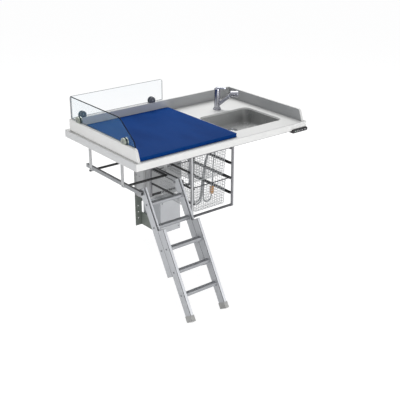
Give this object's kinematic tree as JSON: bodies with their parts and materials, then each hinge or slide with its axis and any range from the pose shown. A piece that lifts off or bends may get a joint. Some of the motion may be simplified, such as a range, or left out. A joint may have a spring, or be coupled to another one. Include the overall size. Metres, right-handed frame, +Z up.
{
  "type": "changing table with bathtub",
  "caption": "Height-adjustable nursery changing table for a wall, with a sunk bath tub, pull-out tap, mattress, glass screens, sliding fold-away ladder and wire baskets.",
  "frame": {"origin": "centre of the wall bolt pattern, on the wall plane; the floor is 373 mm below", "axes": "+X to the right along the wall for someone facing it, +Y into the wall, +Z up"},
  "size_m": [1.4, 1.2629, 1.1715],
  "materials": {
    "worktop_white": "smooth moulded, semi-gloss",
    "tub_white": "smooth moulded, glossy",
    "mattress_blue": "wipe-clean coated cover, satin",
    "screen_glass": "clear toughened glass",
    "clamp_metal": "satin metal",
    "frame_white": "powder coat, satin",
    "column_steel": "brushed",
    "lift_grey": "powder coat, satin",
    "wall_frame_grey": "powder coat, satin",
    "motor_dark": "powder coat, satin",
    "rail_aluminium": "anodised",
    "hanger_steel": "powder coat, satin",
    "bar_black": "powder coat, satin",
    "ladder_aluminium": "anodised, satin",
    "tread_aluminium": "ribbed, anodised",
    "foot_grey": "matt",
    "basket_frame_grey": "powder coat, satin",
    "basket_wire": "coated wire mesh",
    "drain_chrome": "polished",
    "trap_white": "smooth",
    "tap_chrome": "polished",
    "hose_grey": "woven metal braid",
    "weight_brass": "turned",
    "connector_dark": "satin",
    "panel_black": "fine texture",
    "button_grey": "smooth"
  },
  "bodies": {
    "wall_unit": {"wall_frame": "wall_frame_grey", "lift_outer_column": "lift_grey", "lift_actuator": "motor_dark", "lift_housing": "lift_grey", "column_cover": "lift_grey"},
    "table": {"worktop": "worktop_white", "bath_tub": "tub_white", "mattress": "mattress_blue", "glass_screen_rear": "screen_glass", "glass_screen_side": "screen_glass", "clamp_rear_left": "clamp_metal", "clamp_rear_right": "clamp_metal", "clamp_side_rear": "clamp_metal", "clamp_side_front": "clamp_metal", "table_frame": "frame_white", "lift_inner_column": "column_steel", "ladder_rail_left": "rail_aluminium", "ladder_rail_right": "rail_aluminium", "rail_hanger_front_left": "hanger_steel", "rail_hanger_front_right": "hanger_steel", "rail_hanger_rear_left": "hanger_steel", "rail_hanger_rear_right": "hanger_steel", "rail_spreader_bar": "bar_black", "basket_frame_left": "basket_frame_grey", "basket_frame_right": "basket_frame_grey", "basket_frame_front_rail": "bar_black", "basket_frame_rear_rail": "bar_black", "drain_fitting": "drain_chrome", "drain_trap": "trap_white", "tap_base": "tap_chrome", "spray_hose": "hose_grey", "supply_hose_hot": "hose_grey", "supply_hose_cold": "hose_grey", "hose_weight": "weight_brass", "hose_connector": "connector_dark", "handset_case": "panel_black"},
    "ladder_carriage": {"ladder_carriage_arm_left": "rail_aluminium", "ladder_carriage_arm_right": "rail_aluminium", "ladder_carriage_bar": "bar_black"},
    "ladder_upper_section": {"ladder_upper_stile_left": "ladder_aluminium", "ladder_upper_stile_right": "ladder_aluminium", "ladder_upper_rung_1": "tread_aluminium", "ladder_upper_rung_2": "tread_aluminium", "ladder_upper_rung_3": "tread_aluminium"},
    "ladder_lower_section": {"ladder_lower_stile_left": "ladder_aluminium", "ladder_lower_stile_right": "ladder_aluminium", "ladder_lower_rung_1": "tread_aluminium", "ladder_lower_rung_2": "tread_aluminium", "ladder_lower_rung_3": "tread_aluminium", "ladder_foot_left": "foot_grey", "ladder_foot_right": "foot_grey"},
    "basket_high": {"upper_basket": "basket_wire"},
    "basket_low": {"lower_basket": "basket_wire"},
    "tap_column": {"tap_body": "tap_chrome"},
    "tap_spray": {"spray_head": "tap_chrome"},
    "tap_temperature_cap": {"tap_cap": "tap_chrome"},
    "tap_flow_lever": {"tap_lever": "tap_chrome"},
    "plug": {"drain_plug": "drain_chrome"},
    "button_up": {"handset_button_up": "button_grey"},
    "button_down": {"handset_button_down": "button_grey"}
  },
  "joints": [
    {"name": "table_lift", "type": "slide", "parent": "wall_unit", "child": "table", "axis": [0, 0, 1], "range_m": [-0.2, 0.1]},
    {"name": "ladder_carriage_slide", "type": "slide", "parent": "table", "child": "ladder_carriage", "axis": [0, 1, 0], "range_m": [0, 0.46]},
    {"name": "ladder_fold", "type": "hinge", "parent": "ladder_carriage", "child": "ladder_upper_section", "pos_m": [-0.459, -0.741, 0.342], "axis": [-1, 0, 0], "range_deg": [0, 60]},
    {"name": "ladder_extension", "type": "slide", "parent": "ladder_upper_section", "child": "ladder_lower_section", "axis": [0, -0.5, -0.866], "range_m": [-0.25, 0.1]},
    {"name": "upper_basket_slide", "type": "slide", "parent": "table", "child": "basket_high", "axis": [0, -1, 0], "range_m": [0, 0.35]},
    {"name": "lower_basket_slide", "type": "slide", "parent": "table", "child": "basket_low", "axis": [0, -1, 0], "range_m": [0, 0.35]},
    {"name": "tap_swivel", "type": "hinge", "parent": "table", "child": "tap_column", "pos_m": [0.39, -0.269, 0.589], "axis": [0, 0, 1], "range_deg": [-70, 70]},
    {"name": "spray_pull", "type": "slide", "parent": "tap_column", "child": "tap_spray", "axis": [0.4394, -0.6275, 0.6428], "range_m": [0, 0.08]},
    {"name": "temperature_turn", "type": "hinge", "parent": "tap_column", "child": "tap_temperature_cap", "pos_m": [0.39, -0.269, 0.712], "axis": [0, 0, 1], "range_deg": [-45, 45]},
    {"name": "flow_tilt", "type": "hinge", "parent": "tap_temperature_cap", "child": "tap_flow_lever", "pos_m": [0.38541, -0.26245, 0.7221], "axis": [-0.8192, -0.5736, 0], "range_deg": [0, 25]},
    {"name": "plug_lift", "type": "slide", "parent": "table", "child": "plug", "axis": [0, 0, 1], "range_m": [0, 0.01]},
    {"name": "up_button_press", "type": "slide", "parent": "table", "child": "button_up", "axis": [0, 1, 0], "range_m": [0, 0.0015], "stiffness_N_per_m": 400},
    {"name": "down_button_press", "type": "slide", "parent": "table", "child": "button_down", "axis": [0, 1, 0], "range_m": [0, 0.0015], "stiffness_N_per_m": 400}
  ]
}
